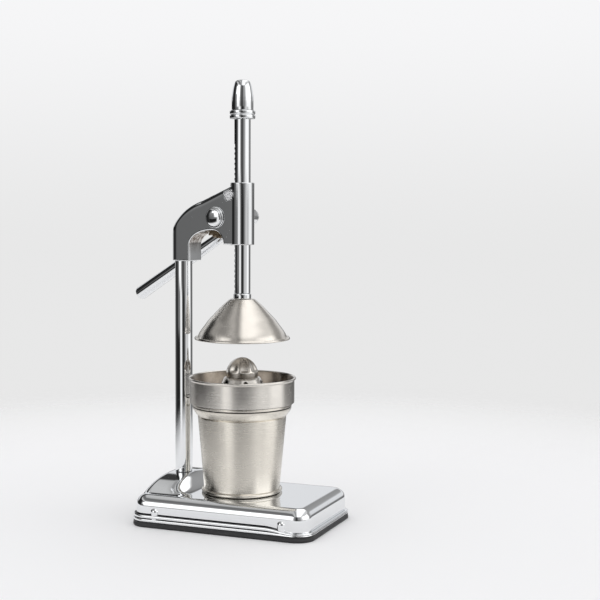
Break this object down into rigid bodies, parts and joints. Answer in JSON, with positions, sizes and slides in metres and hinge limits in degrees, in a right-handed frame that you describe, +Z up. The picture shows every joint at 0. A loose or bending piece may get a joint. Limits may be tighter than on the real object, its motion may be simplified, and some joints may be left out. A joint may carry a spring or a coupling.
{
  "type": "lever citrus juice press",
  "caption": "Bench press for halved citrus fruit: a geared lever drives a cone down over a ribbed reamer, strainer and cup on a footed base.",
  "frame": {"origin": "on the press axis, at the underside of the rubber foot, in the middle of the base", "axes": "+Z up, +X from the column to the ram, +Y towards the lever's plane behind the arm"},
  "size_m": [0.2588, 0.1456, 0.4116],
  "materials": {
    "chrome": "polished chrome plating with mirror gloss",
    "brushed": "spun stainless steel with fine rings of brushing",
    "steel": "plain turned steel",
    "bronze": "turned bearing bronze",
    "rubber": "matt black moulded rubber"
  },
  "bodies": {
    "stand": {"rubber_foot": "rubber", "base_shell": "chrome", "foot_screw_1": "steel", "foot_screw_2": "steel", "foot_screw_3": "steel", "foot_screw_4": "steel", "column_rod": "chrome", "column_washer": "steel", "column_nut": "steel", "head_screw_1": "steel", "head_screw_2": "steel", "head_casting": "chrome", "upper_bush": "bronze", "lower_bush": "bronze", "rear_shaft_bush": "bronze", "front_shaft_bush": "bronze"},
    "crank": {"pinion_shaft": "steel", "pinion": "steel", "pinion_key": "steel", "front_washer": "chrome", "front_cap": "chrome", "lever_spacer": "chrome", "lever_washer": "chrome", "lever_nut": "chrome", "lever_hub": "chrome", "lever_bar": "chrome", "hub_screw": "steel"},
    "ram": {"ram_rod": "chrome", "cap_collar": "chrome", "ram_cap": "chrome", "cone_collar": "chrome", "press_cone": "brushed", "cone_washer": "steel", "cone_screw": "steel"},
    "cup": {"juice_cup": "brushed"},
    "strainer": {"strainer_bowl": "brushed", "reamer": "brushed", "reamer_screw": "steel"}
  },
  "joints": [
    {"name": "lever_turn", "type": "hinge", "parent": "stand", "child": "crank", "pos_m": [-0.024, 0, 0.2851], "axis": [0, 1, 0], "range_deg": [-23.8, 125.7]},
    {"name": "ram_slide", "type": "slide", "parent": "stand", "child": "ram", "axis": [0, 0, -1], "range_m": [-0.0075, 0.0395]},
    {"name": "cup_slide", "type": "slide", "parent": "stand", "child": "cup", "axis": [0.1908, -0.9816, 0], "range_m": [0, 0.12]},
    {"name": "strainer_lift", "type": "slide", "parent": "cup", "child": "strainer", "axis": [0, 0, 1], "range_m": [0, 0.008]}
  ],
  "couplings": [
    {"joint": "ram_slide", "follows": "lever_turn", "m_per_rad": 0.018}
  ]
}
